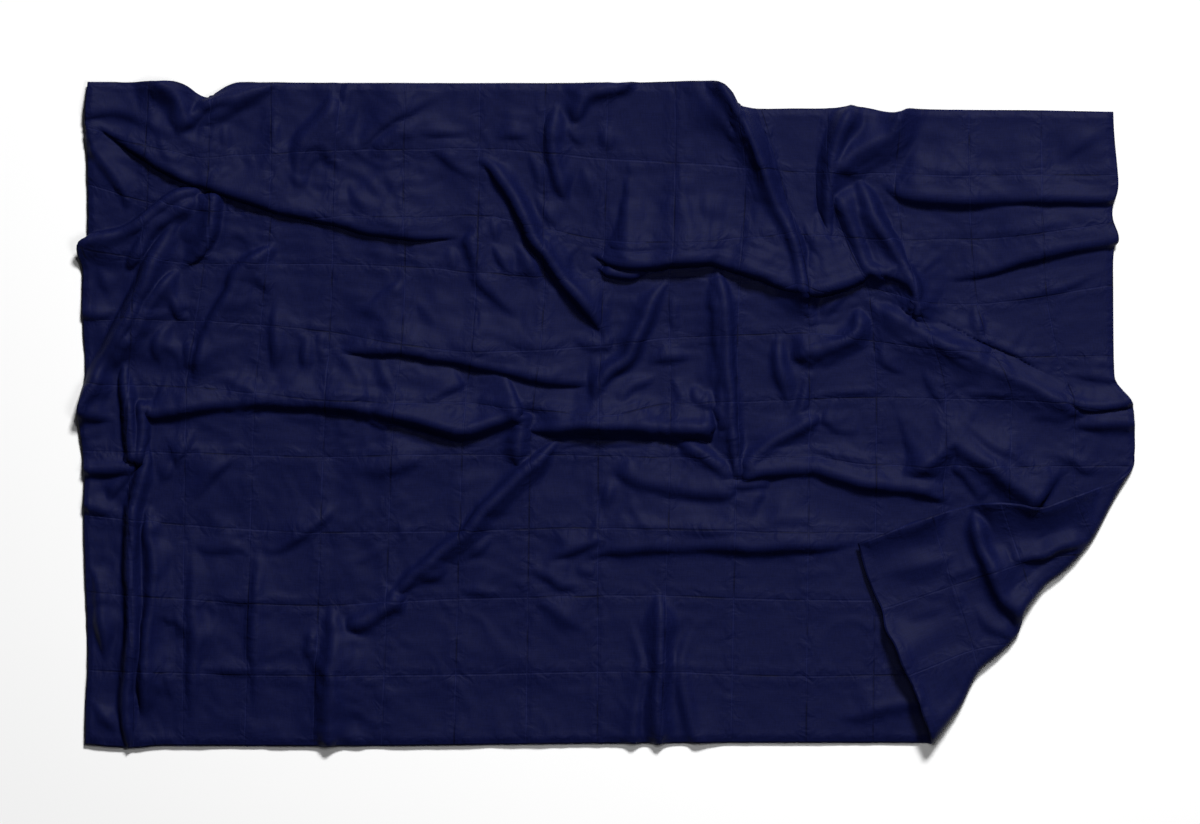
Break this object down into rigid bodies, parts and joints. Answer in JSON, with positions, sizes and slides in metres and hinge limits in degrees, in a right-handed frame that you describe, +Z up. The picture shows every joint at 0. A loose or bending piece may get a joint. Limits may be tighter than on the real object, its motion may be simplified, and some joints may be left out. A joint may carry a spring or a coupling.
{
  "type": "weighted blanket",
  "caption": "Rumpled quilted weighted blanket laid out flat, folds raised across it and one corner turned over onto its top.",
  "frame": {"origin": "centre of the blanket's footprint, on the surface it rests on", "axes": "+X along the blanket's length, +Y across it to the far edge, +Z up from the surface"},
  "size_m": [1.8448, 1.1638, 0.0485],
  "materials": {
    "cotton": "smooth dark navy woven cotton, slight sheen"
  },
  "bodies": {
    "root": {"blanket": "cotton"}
  },
  "joints": []
}
